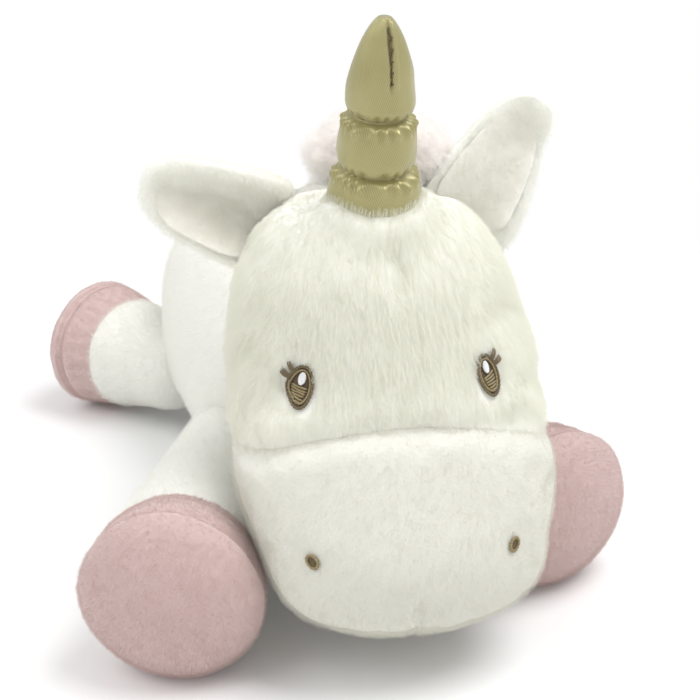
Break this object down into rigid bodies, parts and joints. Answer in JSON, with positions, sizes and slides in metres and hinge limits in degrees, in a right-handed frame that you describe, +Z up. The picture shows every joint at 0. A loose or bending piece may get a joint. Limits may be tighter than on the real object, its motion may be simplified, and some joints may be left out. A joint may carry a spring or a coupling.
{
  "type": "plush unicorn",
  "caption": "Soft plush unicorn lying on its belly, with a satin horn, embroidered face and splayed legs that end in pink hooves; a cuddly toy.",
  "frame": {"origin": "middle of the flat belly that the toy rests on", "axes": "+Z up, the chest towards -Y, the tail towards +Y, the unicorn's left side towards +X; the head is turned 7 degrees to its right"},
  "size_m": [0.2034, 0.3024, 0.2033],
  "materials": {
    "plush_long_white": "long soft pile",
    "plush_short_white": "short soft pile",
    "plush_pink": "very short velvety pile",
    "mane_pink": "long fluffy pile",
    "ear_lining": "smooth brushed fleece",
    "satin_gold": "satin twill",
    "thread_gold": "satin thread",
    "thread_brown": "embroidery thread",
    "thread_tan": "embroidery thread",
    "thread_white": "embroidery thread",
    "stuffing": "loose polyester fibre",
    "pellet_cloth": "plain woven lining over pellets"
  },
  "bodies": {
    "torso": {"torso_cover_left": "plush_short_white", "torso_cover_right": "plush_short_white", "belly_panel": "plush_short_white", "torso_stuffing": "stuffing", "pellet_bag": "pellet_cloth", "neck_cover": "plush_short_white", "neck_stuffing": "stuffing"},
    "head": {"face_panel": "plush_long_white", "head_back_panel": "plush_short_white", "muzzle_cover_left": "plush_short_white", "muzzle_cover_right": "plush_short_white", "head_stuffing": "stuffing", "eye_outline_left": "thread_brown", "eye_iris_left": "thread_tan", "eye_highlight_left": "thread_white", "eye_outline_right": "thread_brown", "eye_iris_right": "thread_tan", "eye_highlight_right": "thread_white", "nostril_left": "thread_tan", "nostril_right": "thread_tan", "mane": "mane_pink"},
    "horn": {"horn_cover": "satin_gold", "horn_stuffing": "stuffing", "horn_thread_lower": "thread_gold", "horn_thread_upper": "thread_gold"},
    "ear_left": {"ear_outer_left": "plush_short_white", "ear_lining_left": "ear_lining"},
    "ear_right": {"ear_outer_right": "plush_short_white", "ear_lining_right": "ear_lining"},
    "tail": {"tail": "mane_pink"},
    "foreleg_left": {"foreleg_left_cover": "plush_short_white", "foreleg_left_hoof_band": "plush_pink", "foreleg_left_hoof_sole": "plush_pink", "foreleg_left_stuffing": "stuffing"},
    "foreleg_right": {"foreleg_right_cover": "plush_short_white", "foreleg_right_hoof_band": "plush_pink", "foreleg_right_hoof_sole": "plush_pink", "foreleg_right_stuffing": "stuffing"},
    "hindleg_left": {"hindleg_left_cover": "plush_short_white", "hindleg_left_hoof_band": "plush_pink", "hindleg_left_hoof_sole": "plush_pink", "hindleg_left_stuffing": "stuffing"},
    "hindleg_right": {"hindleg_right_cover": "plush_short_white", "hindleg_right_hoof_band": "plush_pink", "hindleg_right_hoof_sole": "plush_pink", "hindleg_right_stuffing": "stuffing"}
  },
  "joints": [
    {"name": "head_nod", "type": "hinge", "parent": "torso", "child": "head", "pos_m": [0, -0.078, 0.073], "axis": [-0.9925, 0.1219, 0], "range_deg": [0, 15]},
    {"name": "horn_bend", "type": "hinge", "parent": "head", "child": "horn", "pos_m": [-0.00536, -0.12167, 0.144], "axis": [0.9925, -0.1219, 0], "range_deg": [-10, 10]},
    {"name": "ear_left_flap", "type": "hinge", "parent": "head", "child": "ear_left", "pos_m": [0.03601, -0.09653, 0.133], "axis": [0.8229, -0.101, -0.5592], "range_deg": [-20, 20]},
    {"name": "ear_right_flap", "type": "hinge", "parent": "head", "child": "ear_right", "pos_m": [-0.03694, -0.08757, 0.1346], "axis": [0.3557, -0.0437, 0.9336], "range_deg": [-20, 20]},
    {"name": "foreleg_left_swing", "type": "hinge", "parent": "torso", "child": "foreleg_left", "pos_m": [0.041, -0.055, 0.03], "axis": [0, 0, 1], "range_deg": [0, 30]},
    {"name": "foreleg_right_swing", "type": "hinge", "parent": "torso", "child": "foreleg_right", "pos_m": [-0.041, -0.055, 0.03], "axis": [0, 0, 1], "range_deg": [-30, 0]},
    {"name": "hindleg_left_swing", "type": "hinge", "parent": "torso", "child": "hindleg_left", "pos_m": [0.046, 0.041, 0.03], "axis": [0, 0, 1], "range_deg": [-25, 15]},
    {"name": "hindleg_right_swing", "type": "hinge", "parent": "torso", "child": "hindleg_right", "pos_m": [-0.046, 0.041, 0.03], "axis": [0, 0, 1], "range_deg": [-15, 25]},
    {"name": "tail_swing", "type": "hinge", "parent": "torso", "child": "tail", "pos_m": [0, 0.077, 0.06], "axis": [0, 0, 1], "range_deg": [-25, 25]}
  ]
}
